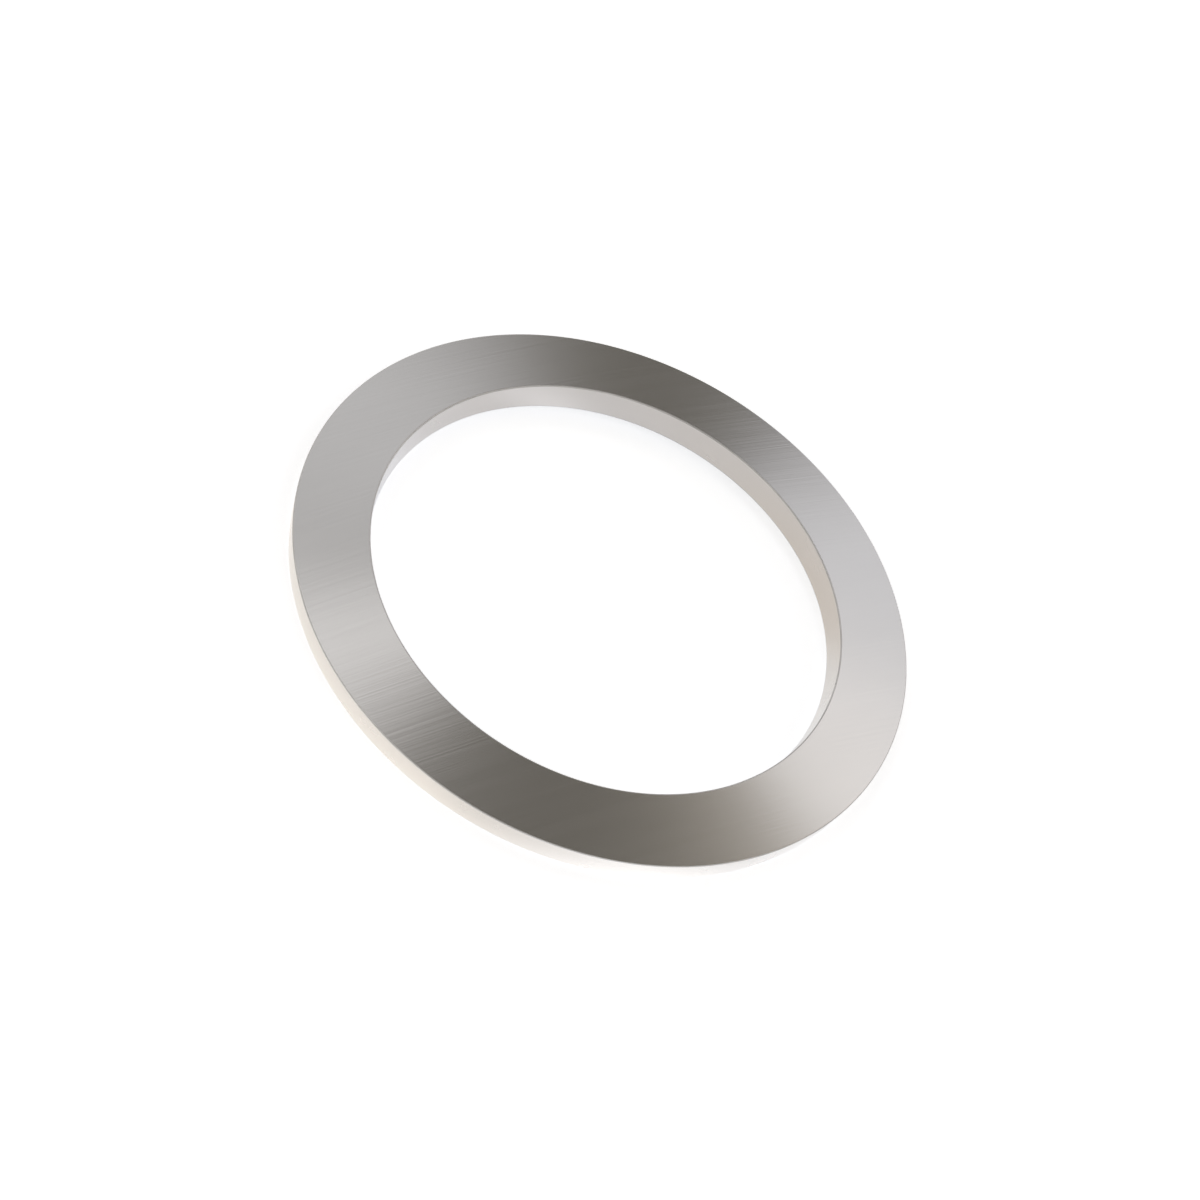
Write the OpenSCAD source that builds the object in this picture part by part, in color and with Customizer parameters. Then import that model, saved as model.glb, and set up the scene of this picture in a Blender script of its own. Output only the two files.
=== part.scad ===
// Disc spring: a coned ring of spring steel, one solid piece.
// The blank is a flat ring with square-cut edges, pressed into a shallow cone,
// so the bore wall and the outer wall stay square to the coned faces.
// The axis is Z, the convex side is up, and the spring stands on its lower
// outer edge at z = 0.

/* [Ring] */
// Outer diameter, at the upper outer edge where the ring is widest
outer_diameter = 80; // [40:0.5:250]
// Width of the ring from its widest circle to the narrowest circle of its bore
ring_width = 10; // [6:0.5:19]

/* [Section] */
// Thickness of the ring, square to its coned faces
thickness = 3.5; // [0.6:0.1:6]
// Height of the cone: the free height less the thickness, which is the travel to flat
cone_height = 1.6; // [0.1:0.1:3]
// Radius of the four deburred edges
edge_radius = 0.15; // [0.05:0.05:0.25]

/* [Hidden] */
$fn = 180;

// The core is the section's rectangle inside the edge rounding: its corners are
// the centres of the four rounded edges. Its width is measured across the ring
// and its rise along the axis.
core_thickness = thickness - 2 * edge_radius;
core_width = ring_width - 2 * edge_radius;
core_rise = core_thickness + cone_height;

// How much rise a core of this tilt still lacks; it falls through zero at the right tilt
function rise_lacking(tilt) =
    core_rise * cos(tilt) - core_width * sin(tilt) - core_thickness * cos(2 * tilt);

// The tilt between two limits that gives the core both its width and its rise,
// found by halving the interval
function tilt_between(low, high, steps) =
    let (middle = (low + high) / 2)
    steps == 0 ? middle
    : rise_lacking(middle) > 0 ? tilt_between(middle, high, steps - 1)
    : tilt_between(low, middle, steps - 1);

// Angle of the coned faces, somewhere between flat and 45 degrees
cone_angle = tilt_between(0, 45, 40);
core_length = (core_width - core_thickness * sin(cone_angle)) / cos(cone_angle);

// Centre of the lower outer edge's rounding: its distance from the axis and its height
foot_radius = outer_diameter / 2 - edge_radius - core_thickness * sin(cone_angle);
foot_height = edge_radius;

// A rectangle from the origin to [length, height], grown all round by a rounding
module grown_rectangle(length, height, rounding) {
    translate([0, -rounding]) square([length, height + 2 * rounding]);
    translate([-rounding, 0]) square([length + 2 * rounding, height]);
    for (x = [0, length], y = [0, height])
        translate([x, y]) circle(r = rounding);
}

// The ring's section beside the axis, tilted so that the bore edge stands high
module section() {
    translate([foot_radius, foot_height])
        rotate(-cone_angle)
            translate([-core_length, 0])
                grown_rectangle(core_length, core_thickness, edge_radius);
}

module disc_spring() {
    color([0.72, 0.71, 0.69]) rotate_extrude() section();
}

disc_spring();
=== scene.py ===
"""Disc spring: a coned ring of ground spring steel, on a white studio floor."""
import math
from typing import NamedTuple

import bpy
import numpy as np
from mathutils import Matrix, Vector


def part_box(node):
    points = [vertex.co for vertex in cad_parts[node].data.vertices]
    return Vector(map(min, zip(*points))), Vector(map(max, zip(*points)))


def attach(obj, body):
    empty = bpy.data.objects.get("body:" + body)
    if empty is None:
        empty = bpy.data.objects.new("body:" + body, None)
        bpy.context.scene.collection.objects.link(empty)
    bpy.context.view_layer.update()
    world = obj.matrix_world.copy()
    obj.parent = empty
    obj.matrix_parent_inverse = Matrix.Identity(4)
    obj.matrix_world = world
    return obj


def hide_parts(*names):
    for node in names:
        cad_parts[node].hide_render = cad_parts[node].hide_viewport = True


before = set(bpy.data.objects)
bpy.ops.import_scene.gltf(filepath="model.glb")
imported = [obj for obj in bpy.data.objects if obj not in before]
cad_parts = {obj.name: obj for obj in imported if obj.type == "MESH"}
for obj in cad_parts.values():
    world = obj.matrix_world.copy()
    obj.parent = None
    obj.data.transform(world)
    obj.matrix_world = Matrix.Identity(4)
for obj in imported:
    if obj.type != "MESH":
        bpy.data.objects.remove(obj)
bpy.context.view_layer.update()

bl_info = {
    "name": "Disc Spring",
    "version": (1, 0, 0),
    "blender": (4, 5, 0),
    "location": "3D View > Sidebar > Disc Spring",
    "description": "Builds a coned steel disc spring and the studio it is seen in",
    "category": "Add Mesh",
}

NODE_LOW, NODE_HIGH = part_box("disc_spring")
MM = 0.001

# Finishes of the ring, in the order of its materials
FACE, WALL, EDGE = range(3)
# Points along a rounded edge, and steps along the straight stretches of the section
ARC_POINTS = 9
FLAT_STEPS = {FACE: 18, WALL: 10}
# Steps of Newton's method, more than it needs to settle
NEWTON_STEPS = 20

# Size of the steel's grain, and a size so long that a pattern doesn't change along it
GRAIN = 0.15 * MM
ENDLESS = 1.0

# Pixels along a side of the square picture that the camera was found from
PHOTO_SIDE = 1200.0
# Width of the camera's sensor in millimetres, and the distances in metres that it sees between
SENSOR = 36.0
NEAREST, FARTHEST = 0.01, 50.0


class RingSizes(bpy.types.PropertyGroup):
    """Sizes of the ring; the outer ones are those of the solid it stands for."""

    outer_diameter: bpy.props.FloatProperty(
        name="Outer Diameter", description="Width across the upper outer edge",
        default=NODE_HIGH[0] - NODE_LOW[0], min=0.01, unit="LENGTH", precision=5)
    free_height: bpy.props.FloatProperty(
        name="Free Height", description="Height from the lower outer edge to the upper edge of the bore",
        default=NODE_HIGH[2] - NODE_LOW[2], min=0.0005, unit="LENGTH", precision=5)
    ring_width: bpy.props.FloatProperty(
        name="Ring Width", description="From the widest circle to the narrowest circle of the bore",
        default=10.0 * MM, min=0.001, unit="LENGTH", precision=5)
    thickness: bpy.props.FloatProperty(
        name="Thickness", description="Thickness of the steel, square to the coned faces",
        default=3.5 * MM, min=0.0005, unit="LENGTH", precision=5)
    edge_radius: bpy.props.FloatProperty(
        name="Edge Radius", description="Radius of the four deburred edges",
        default=0.15 * MM, min=0.00001, unit="LENGTH", precision=5)
    round_steps: bpy.props.IntProperty(
        name="Steps Round", description="Steps once round the ring", default=600, min=48)


class SteelFinish(bpy.types.PropertyGroup):
    """Colours and surface of the steel."""

    face_colour: bpy.props.FloatVectorProperty(
        name="Face Colour", description="Reflected colour of the ground coned faces",
        default=(0.69, 0.68, 0.665), size=3, min=0.0, max=1.0, subtype="COLOR")
    wall_colour: bpy.props.FloatVectorProperty(
        name="Wall Colour", description="Reflected colour of the bore wall and the outer wall",
        default=(0.72, 0.68, 0.635), size=3, min=0.0, max=1.0, subtype="COLOR")
    edge_colour: bpy.props.FloatVectorProperty(
        name="Edge Colour", description="Reflected colour of the rubbed edges",
        default=(0.66, 0.645, 0.625), size=3, min=0.0, max=1.0, subtype="COLOR")
    grind_direction: bpy.props.FloatProperty(
        name="Grind Direction", description="Direction of the grinding lines, from X towards Y",
        default=math.radians(53.0), subtype="ANGLE", unit="ROTATION")
    roughness: bpy.props.FloatProperty(
        name="Roughness", description="Middle roughness of the ground faces",
        default=0.20, min=0.02, max=1.0, subtype="FACTOR")


class StudioSettings(bpy.types.PropertyGroup):
    """Camera, floor and light."""

    tilt: bpy.props.FloatProperty(
        name="View Tilt", description="Angle between the ring's axis and the line of sight",
        default=math.radians(42.21), subtype="ANGLE", unit="ROTATION")
    axis_turn: bpy.props.FloatProperty(
        name="Axis Turn",
        description="Where the ring's axis points in the picture, from the right, anticlockwise",
        default=math.radians(59.42), subtype="ANGLE", unit="ROTATION")
    distance: bpy.props.FloatProperty(
        name="Camera Distance", description="From the camera to the middle of the upper outer edge",
        default=0.9132, min=0.1, unit="LENGTH")
    radius_pixels: bpy.props.FloatProperty(
        name="Radius in Pixels", description="Outer radius in the picture, along its unshortened axis",
        default=326.65, min=10.0, subtype="PIXEL")
    middle_pixel: bpy.props.FloatVectorProperty(
        name="Middle in Pixels", description="Where the middle of the upper outer edge is in the picture",
        default=(603.06, 594.66), size=2)
    floor_colour: bpy.props.FloatVectorProperty(
        name="Floor Colour", description="Colour of the floor",
        default=(0.885, 0.90, 0.925), size=3, min=0.0, max=1.0, subtype="COLOR")
    gloom: bpy.props.FloatVectorProperty(
        name="Gloom", description="Colour of the unlit studio between its lamps",
        default=(0.159, 0.148, 0.129), size=3, min=0.0, max=1.0, subtype="COLOR")


def section_outline(sizes):
    """Closed outline of the ring's section: distances from the axis, heights and each stretch's finish.

    The section is a rectangle tilted by the cone angle, with a quarter circle at each corner. The cone
    angle is the one at which the tilted core, the rectangle of the corner centres, has both its width W
    and its rise H: H cos a - W sin a = T cos 2a, with T the core's thickness. It is solved by Newton's
    method. Points on straight stretches close up towards their ends by a half cosine, so that the shading
    of the flats stays flat right up to the edges.
    """
    rounding = sizes.edge_radius
    core_t = sizes.thickness - 2 * rounding
    core_w = sizes.ring_width - 2 * rounding
    core_h = sizes.free_height - 2 * rounding
    angle = (core_h - core_t) / core_w
    for _ in range(NEWTON_STEPS):
        lacking = core_h * math.cos(angle) - core_w * math.sin(angle) - core_t * math.cos(2 * angle)
        slope = -core_h * math.sin(angle) - core_w * math.cos(angle) + 2 * core_t * math.sin(2 * angle)
        angle -= lacking / slope
    core_l = (core_w - core_t * math.sin(angle)) / math.cos(angle)

    corners = np.array([[0.0, 0.0], [0.0, core_t], [-core_l, core_t], [-core_l, 0.0]])
    following = np.roll(corners, -1, axis=0)
    starts = np.radians([-90.0, 0.0, 90.0, 180.0])
    points, finishes = [], []
    for corner, after, start, finish in zip(corners, following, starts, (WALL, FACE, WALL, FACE)):
        sweep = start + np.linspace(0.0, math.pi / 2, ARC_POINTS)
        arc = corner + rounding * np.stack([np.cos(sweep), np.sin(sweep)], axis=1)
        gone = 0.5 - 0.5 * np.cos(np.linspace(0.0, math.pi, FLAT_STEPS[finish] + 1)[1:-1])
        flat = arc[-1] + gone[:, None] * (after - corner)
        points += [arc, flat]
        finishes += [np.full(len(arc) - 1, EDGE), np.full(len(flat) + 1, finish)]
    points = np.concatenate(points)
    finishes = np.concatenate(finishes)

    turn = np.array([[math.cos(angle), -math.sin(angle)], [math.sin(angle), math.cos(angle)]])
    foot = np.array([sizes.outer_diameter / 2 - rounding - core_t * math.sin(angle), rounding])
    placed = points @ turn + foot
    return placed[:, 0], placed[:, 1], finishes


def carried_round(name, radii, heights, finishes, steps):
    """Mesh of a closed outline carried once round the Z axis.

    The point of outline place j at turn i is (r_j cos t_i, r_j sin t_i, z_j), with t_i = 2 pi i / steps.
    Each quad joins two neighbouring turns and two neighbouring outline places, with its face outwards.
    """
    turns = np.linspace(0.0, 2 * math.pi, steps, endpoint=False)
    around = np.stack([np.cos(turns), np.sin(turns)], axis=1)
    places = len(radii)
    grid = np.empty((steps, places, 3), dtype=np.float32)
    grid[:, :, :2] = around[:, None, :] * radii[None, :, None]
    grid[:, :, 2] = heights[None, :]

    turn, place = np.meshgrid(np.arange(steps), np.arange(places), indexing="ij")
    next_turn, next_place = (turn + 1) % steps, (place + 1) % places
    quads = np.stack([turn * places + place, next_turn * places + place,
                      next_turn * places + next_place, turn * places + next_place], axis=-1).reshape(-1, 4)

    mesh = bpy.data.meshes.new(name)
    mesh.vertices.add(steps * places)
    mesh.vertices.foreach_set("co", grid.ravel())
    mesh.loops.add(quads.size)
    mesh.loops.foreach_set("vertex_index", quads.ravel().astype(np.int32))
    mesh.polygons.add(len(quads))
    mesh.polygons.foreach_set("loop_start", np.arange(0, quads.size, 4, dtype=np.int32))
    mesh.polygons.foreach_set("material_index", np.tile(finishes, steps).astype(np.int32))
    mesh.polygons.foreach_set("use_smooth", np.ones(len(quads), dtype=bool))
    mesh.update(calc_edges=True)
    mesh.validate()
    return mesh


class Graph:
    """The nodes of a material, a lamp or the world, added one call at a time."""

    def __init__(self, owner):
        owner.use_nodes = True
        self.tree = owner.node_tree
        self.tree.nodes.clear()

    def add(self, kind, settings=None, **inputs):
        """Adds a node and sets its inputs, each to a value or to an output socket to link from.

        An input has its socket's name, with _ for a space, or else _ and the socket's number.
        """
        node = self.tree.nodes.new(kind)
        for key, value in (settings or {}).items():
            setattr(node, key, value)
        for key, value in inputs.items():
            socket = node.inputs[int(key[1:]) if key[0] == "_" else key.replace("_", " ")]
            if isinstance(value, bpy.types.NodeSocket):
                self.tree.links.new(value, socket)
            else:
                socket.default_value = value
        return node

    def stretched_noise(self, length, width, depth, detail, sharpness=0.55, direction=0.0):
        """Noise with a length along a direction in the XY plane, a width across it and a depth along Z.

        The coordinates are turned back by the direction and divided by the three sizes.
        """
        place = self.add("ShaderNodeTexCoord").outputs["Object"]
        turned = self.add("ShaderNodeMapping", {"vector_type": "TEXTURE"}, Vector=place,
                          Rotation=(0.0, 0.0, direction), Scale=(length, width, depth))
        return self.add("ShaderNodeTexNoise", Vector=turned.outputs["Vector"], Scale=1.0, Detail=detail,
                        Roughness=sharpness).outputs["Fac"]

    def even_noise(self, size, detail):
        """Noise with the same size all ways."""
        return self.stretched_noise(size, size, size, detail)

    def ranged(self, value, span, result):
        """The span of a value mapped onto the span of a result, and held at its ends."""
        return self.add("ShaderNodeMapRange", Value=value, From_Min=span[0], From_Max=span[1],
                        To_Min=result[0], To_Max=result[1]).outputs["Result"]

    def eased(self, value, nothing, full):
        """0 at one value and 1 at another, with a smooth step between them."""
        return self.add("ShaderNodeMapRange", {"interpolation_type": "SMOOTHSTEP"}, Value=value,
                        From_Min=nothing, From_Max=full).outputs["Result"]

    def times(self, first, second):
        """first * second."""
        return self.add("ShaderNodeMath", {"operation": "MULTIPLY"}, _0=first, _1=second).outputs[0]

    def weighed(self, *parts):
        """Sum of values, each times its weight."""
        total = 0.0
        for value, weight in parts:
            node = self.add("ShaderNodeMath", {"operation": "MULTIPLY_ADD"}, _0=value, _1=weight, _2=total)
            total = node.outputs[0]
        return total

    def blend(self, factor, first, second):
        """A colour between two colours."""
        return self.add("ShaderNodeMix", {"data_type": "RGBA"}, _0=factor, _6=first, _7=second).outputs[2]

    def seen(self):
        """1 for what the camera sees, straight or through something clear, and 0 for other rays."""
        path = self.add("ShaderNodeLightPath").outputs
        return self.add("ShaderNodeMath", {"operation": "ADD"}, _0=path["Is Camera Ray"],
                        _1=path["Is Transmission Ray"]).outputs[0]


def shade(colour, amount=1.0):
    """A colour made lighter or darker, as the four numbers of a colour socket."""
    return tuple(min(1.0, c * amount) for c in colour) + (1.0,)


def toned(graph, tone, colour, dark, light):
    """A colour that goes from its dark shade at tone 0 to its light shade at tone 1."""
    return graph.blend(tone, shade(colour, dark), shade(colour, light))


def steel(graph, colour, roughness, height, bump_depth):
    """Metal with a varied colour, a varied roughness and a bumped surface."""
    bump = graph.add("ShaderNodeBump", Height=height, Strength=1.0, Distance=bump_depth)
    surface = graph.add("ShaderNodeBsdfPrincipled", Base_Color=colour, Metallic=1.0, Roughness=roughness,
                        Normal=bump.outputs["Normal"])
    graph.add("ShaderNodeOutputMaterial", Surface=surface.outputs["BSDF"])


def ground_face_steel(finish):
    """Coned faces: straight grinding lines, long ones over fine ones, grain and slow patches of tone."""
    material = bpy.data.materials.new("ground_face_steel")
    graph = Graph(material)
    along = finish.grind_direction
    long_lines = graph.stretched_noise(60 * MM, 0.42 * MM, ENDLESS, detail=3.0, sharpness=0.75,
                                       direction=along)
    fine_lines = graph.stretched_noise(7 * MM, 0.12 * MM, ENDLESS, detail=3.0, sharpness=0.65,
                                       direction=along)
    patches = graph.stretched_noise(26 * MM, 9 * MM, ENDLESS, detail=3.0, direction=along)
    grain = graph.even_noise(GRAIN, detail=2.0)
    lines = graph.weighed((long_lines, 1.0), (fine_lines, 0.20))
    tone = graph.weighed((patches, 0.4), (long_lines, 0.27), (fine_lines, 0.135), (grain, 0.2))
    colour = toned(graph, tone, finish.face_colour, dark=0.91, light=1.09)
    roughness = graph.ranged(graph.weighed((lines, 1.0), (grain, 0.3)), (0.42, 1.0),
                             (finish.roughness - 0.02, finish.roughness + 0.02))
    height = graph.weighed((lines, 1.0), (grain, 0.045))
    steel(graph, colour, roughness, height, bump_depth=0.0075 * MM)
    return material


def turned_wall_steel(finish):
    """Bore wall and outer wall: faint lines round the axis, set by height, and slow patches of tone."""
    material = bpy.data.materials.new("turned_wall_steel")
    graph = Graph(material)
    lines = graph.stretched_noise(20 * MM, 20 * MM, 0.15 * MM, detail=2.0)
    patches = graph.stretched_noise(6 * MM, 6 * MM, 3 * MM, detail=2.0)
    grain = graph.even_noise(GRAIN, detail=2.0)
    tone = graph.weighed((patches, 0.5), (lines, 0.3), (grain, 0.2))
    colour = toned(graph, tone, finish.wall_colour, dark=0.95, light=1.05)
    roughness = graph.ranged(patches, (0.3, 0.7), (finish.roughness + 0.04, finish.roughness + 0.08))
    height = graph.weighed((lines, 1.0), (grain, 0.1))
    steel(graph, colour, roughness, height, bump_depth=0.0004 * MM)
    return material


def rubbed_edge_steel(finish):
    """Deburred edges: more matt, with small nicks, and brighter where they are rubbed most."""
    material = bpy.data.materials.new("rubbed_edge_steel")
    graph = Graph(material)
    nicks = graph.even_noise(0.35 * MM, detail=3.0)
    wear = graph.ranged(graph.even_noise(4 * MM, detail=2.0), (0.35, 0.65), (0.0, 1.0))
    colour = toned(graph, wear, finish.edge_colour, dark=0.96, light=1.06)
    roughness = graph.ranged(nicks, (0.3, 0.7), (finish.roughness + 0.20, finish.roughness + 0.30))
    steel(graph, colour, roughness, nicks, bump_depth=0.0015 * MM)
    return material


class DISCSPRING_OT_ring(bpy.types.Operator):
    """Build the coned steel ring in place of the plain solid"""

    bl_idname = "disc_spring.ring"
    bl_label = "Build Ring"

    def execute(self, context):
        sizes, finish = context.scene.disc_spring_sizes, context.scene.disc_spring_finish
        mesh = carried_round("coned_ring", *section_outline(sizes), sizes.round_steps)
        for material in (ground_face_steel(finish), turned_wall_steel(finish), rubbed_edge_steel(finish)):
            mesh.materials.append(material)
        ring = bpy.data.objects.new("coned_ring", mesh)
        context.scene.collection.objects.link(ring)
        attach(ring, "root")
        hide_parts("disc_spring")
        return {"FINISHED"}


def set_camera(scene, studio, sizes):
    """Camera from the viewing tilt, the axis's turn in the picture, the distance and two pixel measures.

    The picture's plane is spanned by X and by the up-slope of the tilt, turned so that the ring's axis
    points where the picture shows it. The lens is the one that gives the outer radius its pixels.
    """
    sight = Vector((0.0, -math.sin(studio.tilt), math.cos(studio.tilt)))
    across = Vector((1.0, 0.0, 0.0))
    upslope = Vector((0.0, math.cos(studio.tilt), math.sin(studio.tilt)))
    c, s = math.cos(studio.axis_turn), math.sin(studio.axis_turn)
    right, up = across * s + upslope * c, upslope * s - across * c
    radius = sizes.outer_diameter / 2
    middle = Vector((0.0, 0.0, sizes.thickness - sizes.edge_radius))
    pixel = radius / studio.radius_pixels
    off_right = studio.middle_pixel[0] - PHOTO_SIDE / 2
    off_up = PHOTO_SIDE / 2 - studio.middle_pixel[1]
    place = middle - right * (off_right * pixel) - up * (off_up * pixel) + sight * studio.distance

    lens = bpy.data.cameras.new("camera")
    lens.sensor_width = SENSOR
    lens.lens = studio.radius_pixels * studio.distance / radius * SENSOR / PHOTO_SIDE
    lens.clip_start, lens.clip_end = NEAREST, FARTHEST
    camera = bpy.data.objects.new("camera", lens)
    camera.matrix_world = Matrix.Translation(place) @ Matrix((right, up, sight)).transposed().to_4x4()
    scene.collection.objects.link(camera)
    scene.camera = camera


class Softbox(NamedTuple):
    """A slanted lamp panel with soft edges.

    Its inner edge lies in the vertical plane at an azimuth, counted from +Y towards +X, between two
    elevations, all in degrees and seen from the ring. From there it reaches its width, in metres, to the
    right, or to the left where the width is negative. The fades are the shares of its width and height
    over which the light comes up from the inner edge, from the foot and from the head.
    """

    name: str
    azimuth: float
    low: float
    high: float
    width: float
    brightness: float
    colour: tuple
    inner_fade: float
    foot_fade: float
    head_fade: float


SOFTBOXES = (
    Softbox("right", azimuth=0.1, low=8.0, high=58.0, width=5.2, brightness=0.73,
            colour=(0.92, 0.93, 1.0), inner_fade=0.10, foot_fade=0.10, head_fade=0.08),
    Softbox("right_high", azimuth=4.0, low=31.0, high=71.0, width=4.0, brightness=0.64,
            colour=(1.0, 0.89, 0.74), inner_fade=0.60, foot_fade=0.30, head_fade=0.30),
    Softbox("left", azimuth=-6.6, low=8.0, high=82.0, width=-5.2, brightness=0.60,
            colour=(0.94, 0.95, 1.0), inner_fade=0.13, foot_fade=0.10, head_fade=0.58),
    Softbox("high", azimuth=-13.6, low=55.5, high=84.0, width=-4.0, brightness=0.87,
            colour=(1.0, 0.985, 1.0), inner_fade=0.12, foot_fade=0.30, head_fade=0.30),
    Softbox("side", azimuth=60.0, low=5.0, high=55.0, width=6.0, brightness=0.28,
            colour=(1.0, 1.0, 1.0), inner_fade=0.20, foot_fade=0.20, head_fade=0.30),
)
# Distance from the ring to a softbox's inner edge, in metres
REACH = 4.0
# Share of its width over which a softbox fades out at its outer edge
OUTER_FADE = 0.1
# Each softbox hangs twice, in its place and half a turn round from it: an ending for its name, its turn
# in degrees and the share of its tint that it has there
HANGINGS = (("", 0.0, 1.0), ("_opposite", 180.0, 0.3))


def hang_softbox(scene, box, name, turn, tint):
    """Hangs a softbox at its reach from the ring, turned about Z, with a share of its tint.

    Its power is pi times its area times its brightness.
    """
    azimuth, low, high = (math.radians(v) for v in (box.azimuth + turn, box.low, box.high))
    outwards = Vector((math.sin(azimuth), math.cos(azimuth), 0.0))
    rightwards = Vector((math.cos(azimuth), -math.sin(azimuth), 0.0))
    upwards = Vector((0.0, 0.0, 1.0))
    foot = REACH * (outwards * math.cos(low) + upwards * math.sin(low))
    head = REACH * (outwards * math.cos(high) + upwards * math.sin(high))
    lamp = bpy.data.lights.new(name, "AREA")
    lamp.shape = "RECTANGLE"
    lamp.size, lamp.size_y = abs(box.width), (head - foot).length
    lamp.color = [1.0 - tint * (1.0 - c) for c in box.colour]
    lamp.energy = box.brightness * math.pi * lamp.size * lamp.size_y

    graph = Graph(lamp)
    place = graph.add("ShaderNodeNewGeometry").outputs["Parametric"]
    spot = graph.add("ShaderNodeSeparateXYZ", _0=place).outputs
    inner, outer = (0.0, 1.0) if box.width > 0 else (1.0, 0.0)
    across = outer - inner
    light = graph.eased(spot["X"], inner, inner + across * box.inner_fade)
    light = graph.times(light, graph.eased(spot["X"], outer, outer - across * OUTER_FADE))
    light = graph.times(light, graph.eased(spot["Y"], 0.0, box.head_fade))
    light = graph.times(light, graph.eased(spot["Y"], 1.0, 1.0 - box.foot_fade))
    glow = graph.add("ShaderNodeEmission", Strength=light)
    graph.add("ShaderNodeOutputLight", Surface=glow.outputs[0])

    downwards = (foot - head).normalized()
    panel = bpy.data.objects.new(name, lamp)
    turned = Matrix((rightwards, downwards, rightwards.cross(downwards))).transposed().to_4x4()
    panel.matrix_world = Matrix.Translation((foot + head) / 2 + rightwards * (box.width / 2)) @ turned
    panel.visible_camera = False
    scene.collection.objects.link(panel)


class Pool(NamedTuple):
    """A round pool of light on the floor, or of shade where its strength is below zero."""

    x: float
    y: float
    radius: float
    strength: float


# The floor's glow, as the steel mirrors it. Each pair below is a start and an end, and those of places are
# along X, along Y or out from the axis.
# Its fall from front to back: places along Y and strengths there
FALL_Y = (-55 * MM, 40 * MM)
FALL_STRENGTH = (0.71, 0.165)
# A strip of it on the right, which comes up along X and towards the front
STRIP_X = (5 * MM, 45 * MM)
STRIP_Y = (17 * MM, 12 * MM)
STRIP_STRENGTH = 0.13
POOLS = (
    Pool(x=23 * MM, y=-38 * MM, radius=18 * MM, strength=0.29),
    Pool(x=-14 * MM, y=22 * MM, radius=7 * MM, strength=0.15),
    Pool(x=-29 * MM, y=5 * MM, radius=9 * MM, strength=0.055),
    Pool(x=-41 * MM, y=-9 * MM, radius=14 * MM, strength=0.18),
    Pool(x=0 * MM, y=-41 * MM, radius=9 * MM, strength=-0.07),
    Pool(x=28 * MM, y=-4 * MM, radius=9 * MM, strength=-0.10),
)
# Its gain close to the bore and close to the rim
BESIDE_BORE = (20 * MM, 27 * MM)
BESIDE_RIM = (41.3 * MM, 39.3 * MM)
BESIDE_GAIN = (1.0, 1.28)
# Its loss away from the ring
AWAY = (50 * MM, 110 * MM)
AWAY_GAIN = (1.0, 0.5)
# Its colours, and where they change: to the right, to the back in the bore, and inwards into the bore
OUTSIDE_LEFT = (1.02, 1.005, 0.975, 1.0)
OUTSIDE_RIGHT = (0.945, 0.985, 1.05, 1.0)
BORE_LEFT = (0.92, 0.97, 1.08, 1.0)
BORE_FRONT = (0.945, 0.97, 1.0, 1.0)
BORE_BACK = (0.97, 0.90, 0.83, 1.0)
TO_RIGHT = (-10 * MM, 20 * MM)
TO_BACK = (10 * MM, 18 * MM)
INTO_BORE = (36 * MM, 32 * MM)


def mirrored_glow(graph):
    """Strength and colour of the floor's glow in the steel's walls.

    The glow falls off from front to back, with a strip on the right and pools of light and shade. It is
    stronger beside the ring's walls and weaker away from the ring. Outside the ring its colour goes from
    warm on the left to cool on the right. Inside the bore it goes from cool on the left to nearly neutral
    at the front right and warm at the back right.
    """
    place = graph.add("ShaderNodeTexCoord").outputs["Object"]
    spot = graph.add("ShaderNodeSeparateXYZ", _0=place).outputs
    out = graph.add("ShaderNodeVectorMath", {"operation": "LENGTH"}, _0=place).outputs["Value"]

    strip = graph.times(graph.eased(spot["X"], *STRIP_X), graph.eased(spot["Y"], *STRIP_Y))
    parts = [(graph.ranged(spot["Y"], FALL_Y, FALL_STRENGTH), 1.0), (strip, STRIP_STRENGTH)]
    for pool in POOLS:
        middle = (pool.x, pool.y, 0.0)
        off = graph.add("ShaderNodeVectorMath", {"operation": "DISTANCE"}, _0=place, _1=middle)
        parts.append((graph.eased(off.outputs["Value"], pool.radius, 0.0), pool.strength))
    strength = graph.times(graph.weighed(*parts), graph.ranged(out, AWAY, AWAY_GAIN))
    beside = graph.times(graph.eased(out, *BESIDE_BORE), graph.eased(out, *BESIDE_RIM))
    strength = graph.times(strength, graph.ranged(beside, (0.0, 1.0), BESIDE_GAIN))

    to_right = graph.eased(spot["X"], *TO_RIGHT)
    outside = graph.blend(to_right, OUTSIDE_LEFT, OUTSIDE_RIGHT)
    bore_right = graph.blend(graph.eased(spot["Y"], *TO_BACK), BORE_FRONT, BORE_BACK)
    in_bore = graph.blend(to_right, BORE_LEFT, bore_right)
    return strength, graph.blend(graph.eased(out, *INTO_BORE), outside, in_bore)


# Half the side of the floor, in metres, and the light that it adds to its own for the camera, to look white
FLOOR_HALF = 8.0
FLOOR_LIFT = 0.56


def white_floor_finish(studio):
    """Pale matt floor that keeps its shadows, looks white to the camera and glows unevenly in the steel."""
    material = bpy.data.materials.new("floor_white")
    graph = Graph(material)
    strength, colour = mirrored_glow(graph)
    mirrored = graph.add("ShaderNodeLightPath").outputs["Is Glossy Ray"]
    matt = graph.add("ShaderNodeBsdfDiffuse", Color=shade(studio.floor_colour))
    white = graph.add("ShaderNodeEmission", Strength=graph.times(graph.seen(), FLOOR_LIFT))
    glow = graph.add("ShaderNodeEmission", Color=colour, Strength=graph.times(mirrored, strength))
    lights = graph.add("ShaderNodeAddShader", _0=white.outputs[0], _1=glow.outputs[0])
    surface = graph.add("ShaderNodeAddShader", _0=matt.outputs[0], _1=lights.outputs[0])
    graph.add("ShaderNodeOutputMaterial", Surface=surface.outputs[0])
    return material


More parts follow.
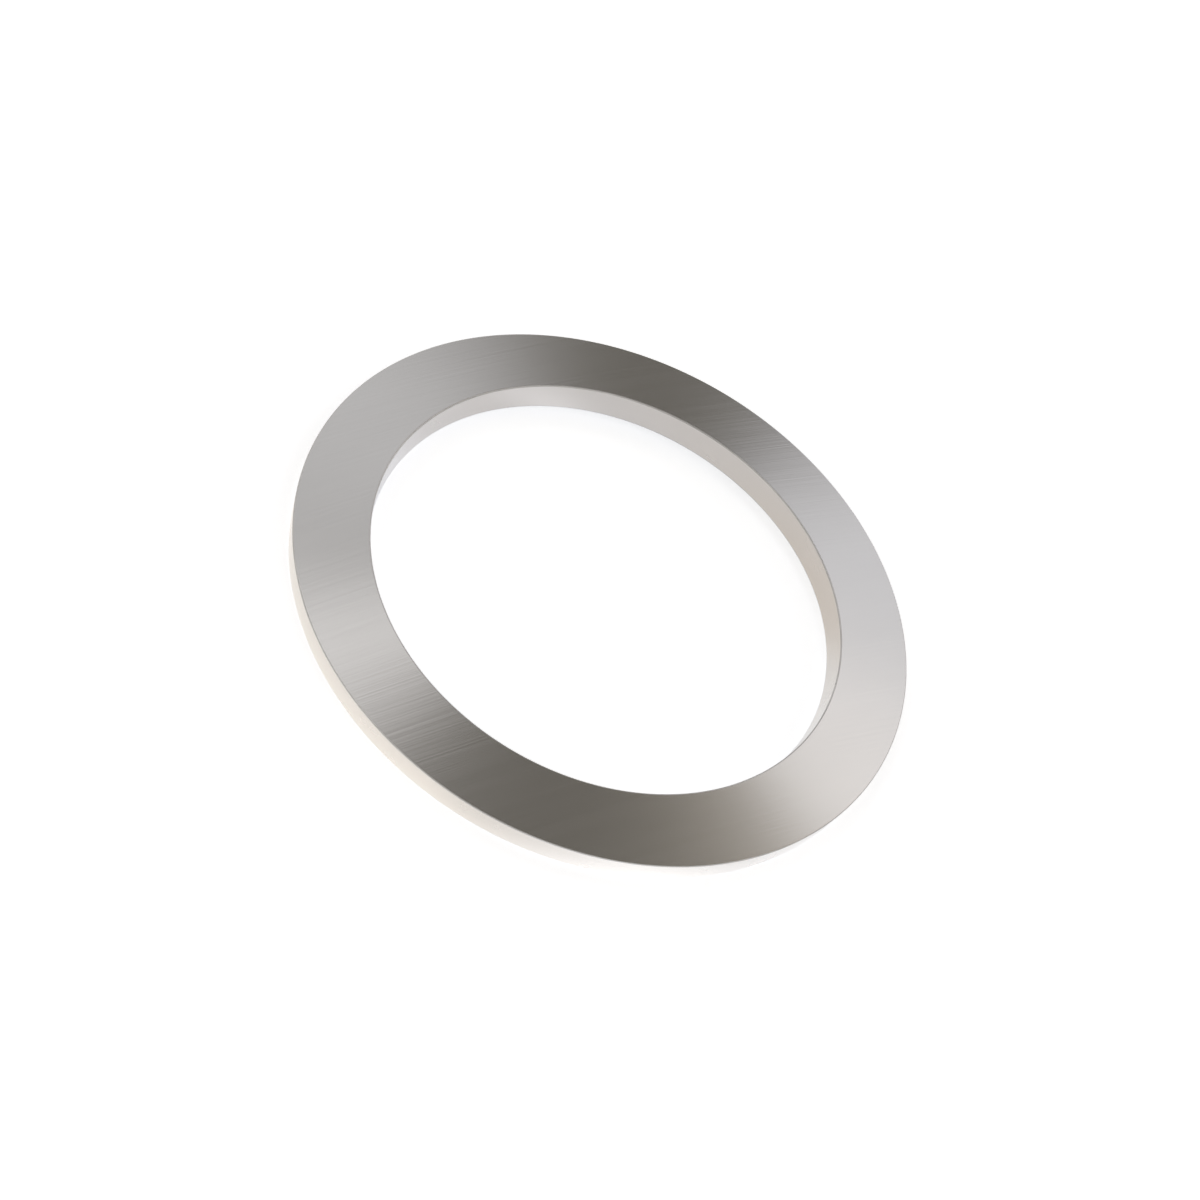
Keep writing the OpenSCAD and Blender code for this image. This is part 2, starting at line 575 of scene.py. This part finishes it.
def lay_floor(scene, studio):
    """Square floor that the ring stands on."""
    corners = [(x * FLOOR_HALF, y * FLOOR_HALF, 0.0) for x, y in ((-1, -1), (1, -1), (1, 1), (-1, 1))]
    mesh = bpy.data.meshes.new("floor")
    mesh.from_pydata(corners, [], [(0, 1, 2, 3)])
    mesh.materials.append(white_floor_finish(studio))
    floor = bpy.data.objects.new("floor", mesh)
    floor.location.z = NODE_LOW[2]
    scene.collection.objects.link(floor)


def studio_world(studio):
    """World that is white to the camera and the studio's gloom in the steel."""
    world = bpy.data.worlds.new("studio")
    graph = Graph(world)
    around = graph.blend(graph.seen(), shade(studio.gloom), (1.0, 1.0, 1.0, 1.0))
    background = graph.add("ShaderNodeBackground", Color=around)
    graph.add("ShaderNodeOutputWorld", Surface=background.outputs[0])
    return world


class DISCSPRING_OT_studio(bpy.types.Operator):
    """Set up the white floor, the soft light and the camera"""

    bl_idname = "disc_spring.studio"
    bl_label = "Set Up Studio"

    def execute(self, context):
        scene = context.scene
        studio = scene.disc_spring_studio
        set_camera(scene, studio, scene.disc_spring_sizes)
        lay_floor(scene, studio)
        scene.world = studio_world(studio)
        for where, turn, tint in HANGINGS:
            for box in SOFTBOXES:
                hang_softbox(scene, box, "softbox_" + box.name + where, turn, tint)
        scene.view_settings.view_transform = "Standard"
        return {"FINISHED"}


class DISCSPRING_PT_panel(bpy.types.Panel):
    """Sidebar panel with the ring's sizes, its finish and the studio"""

    bl_idname = "DISCSPRING_PT_panel"
    bl_label = "Disc Spring"
    bl_space_type = "VIEW_3D"
    bl_region_type = "UI"
    bl_category = "Disc Spring"

    def draw(self, context):
        for group in GROUPS:
            settings = getattr(context.scene, group)
            box = self.layout.box()
            for name in settings.__annotations__:
                box.prop(settings, name)
        for operator in (DISCSPRING_OT_ring, DISCSPRING_OT_studio):
            self.layout.operator(operator.bl_idname)


GROUPS = {
    "disc_spring_sizes": RingSizes,
    "disc_spring_finish": SteelFinish,
    "disc_spring_studio": StudioSettings,
}
CLASSES = (*GROUPS.values(), DISCSPRING_OT_ring, DISCSPRING_OT_studio, DISCSPRING_PT_panel)


def register():
    for cls in CLASSES:
        bpy.utils.register_class(cls)
    for name, group in GROUPS.items():
        setattr(bpy.types.Scene, name, bpy.props.PointerProperty(type=group))


def unregister():
    for name in GROUPS:
        delattr(bpy.types.Scene, name)
    for cls in reversed(CLASSES):
        bpy.utils.unregister_class(cls)


def main():
    register()
    bpy.ops.disc_spring.ring()
    bpy.ops.disc_spring.studio()


if __name__ == "__main__":
    main()
